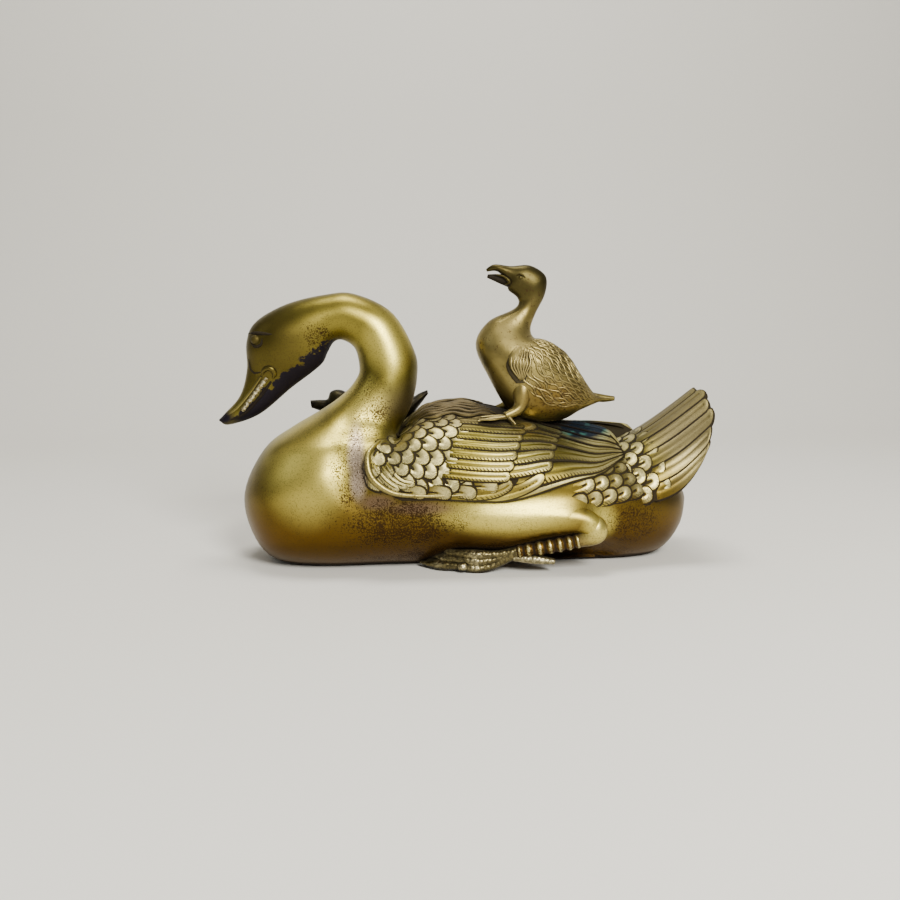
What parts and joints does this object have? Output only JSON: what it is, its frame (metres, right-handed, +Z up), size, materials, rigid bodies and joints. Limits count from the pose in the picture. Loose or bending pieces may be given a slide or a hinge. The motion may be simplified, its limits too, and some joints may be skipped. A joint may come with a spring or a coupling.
{
  "type": "brass goose and goslings ornament",
  "caption": "Cast brass goose sitting with folded wings and arched neck, a gosling standing on her back and another lying at her far shoulder.",
  "frame": {"origin": "centre of the whole group's bounding box, at the flat underside that it stands on", "axes": "+Z up; the mother's tail points to +X and her beak to -X"},
  "size_m": [0.2436, 0.0986, 0.1458],
  "materials": {
    "cast_brass": "satin brass with dark patina in the recesses",
    "gosling_brass": "duller olive-brown brass with dark patina"
  },
  "bodies": {
    "root": {"mother_goose": "cast_brass", "standing_gosling": "gosling_brass", "resting_gosling": "gosling_brass"}
  },
  "joints": []
}
